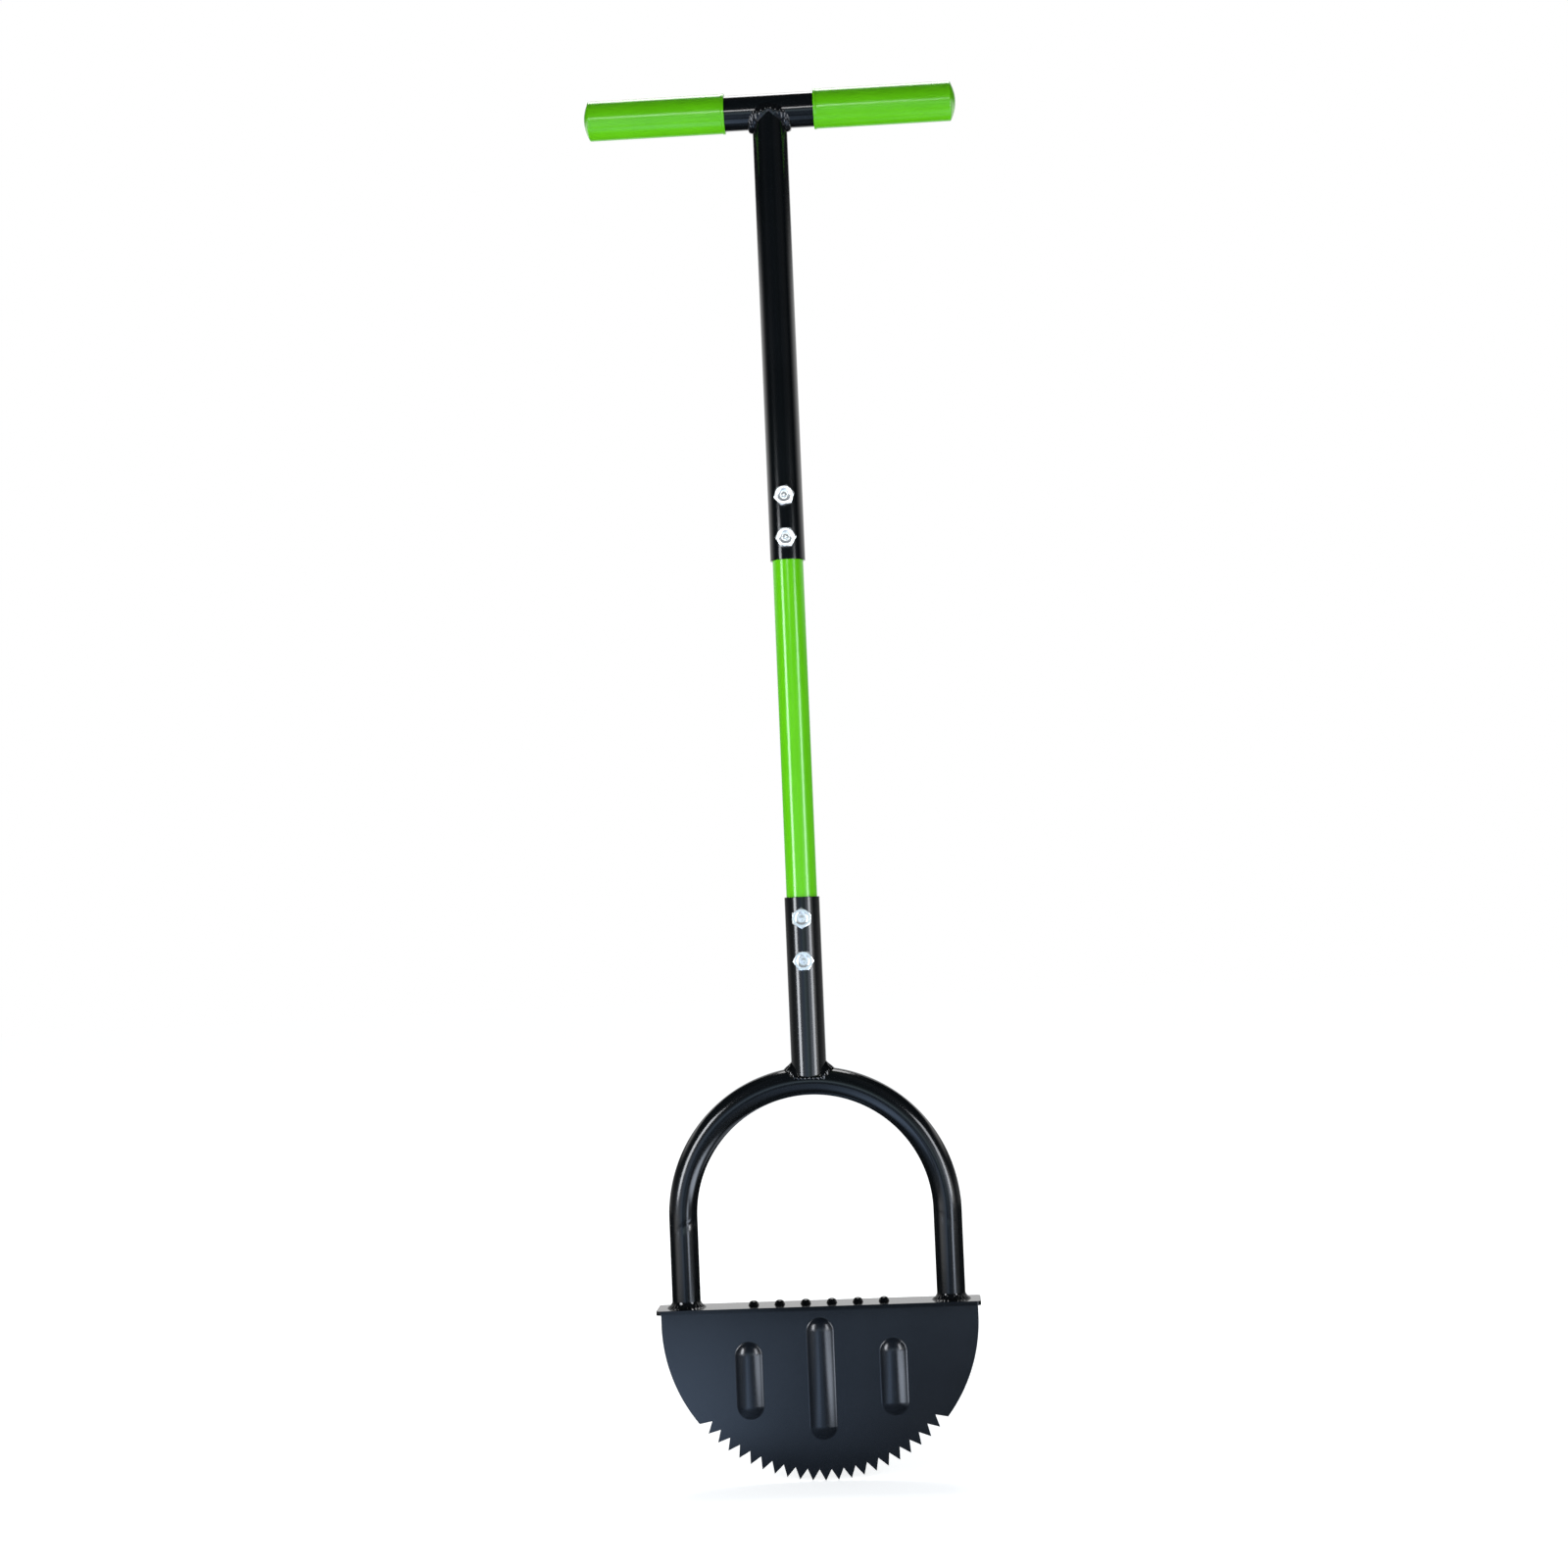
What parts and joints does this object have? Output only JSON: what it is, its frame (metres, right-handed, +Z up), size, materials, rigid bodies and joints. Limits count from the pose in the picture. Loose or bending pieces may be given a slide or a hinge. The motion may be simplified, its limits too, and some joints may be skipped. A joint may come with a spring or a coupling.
{
  "type": "half moon edger",
  "caption": "Long-handled lawn edger: toothed half-moon blade with pressed ribs under a foot plate, a bent tube hoop, and a bolted tube handle with a crossbar and sleeve grips.",
  "frame": {"origin": "on the shaft's axis, at the level of the tooth tips", "axes": "+Z up along the shaft, -Y to the front with the bolt heads and the raised ribs, +X along the crossbar to the right seen from the front"},
  "size_m": [0.268, 0.0403, 0.9904],
  "materials": {
    "black_enamel": "gloss enamel",
    "weld_enamel": "gloss enamel over weld ripples",
    "green_enamel": "gloss enamel",
    "green_grip": "satin moulded plastic",
    "zinc": "bright zinc plate"
  },
  "bodies": {
    "root": {"blade": "black_enamel", "foot_plate": "black_enamel", "hoop": "black_enamel", "socket_tube": "black_enamel", "middle_tube": "green_enamel", "upper_tube": "black_enamel", "crossbar": "black_enamel", "grip_left": "green_grip", "grip_right": "green_grip", "crossbar_weld": "weld_enamel", "socket_weld": "weld_enamel", "leg_weld_left": "weld_enamel", "leg_weld_right": "weld_enamel", "blade_weld": "weld_enamel", "bolt_1": "zinc", "bolt_2": "zinc", "bolt_3": "zinc", "bolt_4": "zinc", "spring_washer_1": "zinc", "spring_washer_2": "zinc", "spring_washer_3": "zinc", "spring_washer_4": "zinc", "hex_nut_1": "zinc", "hex_nut_2": "zinc", "hex_nut_3": "zinc", "hex_nut_4": "zinc"}
  },
  "joints": []
}
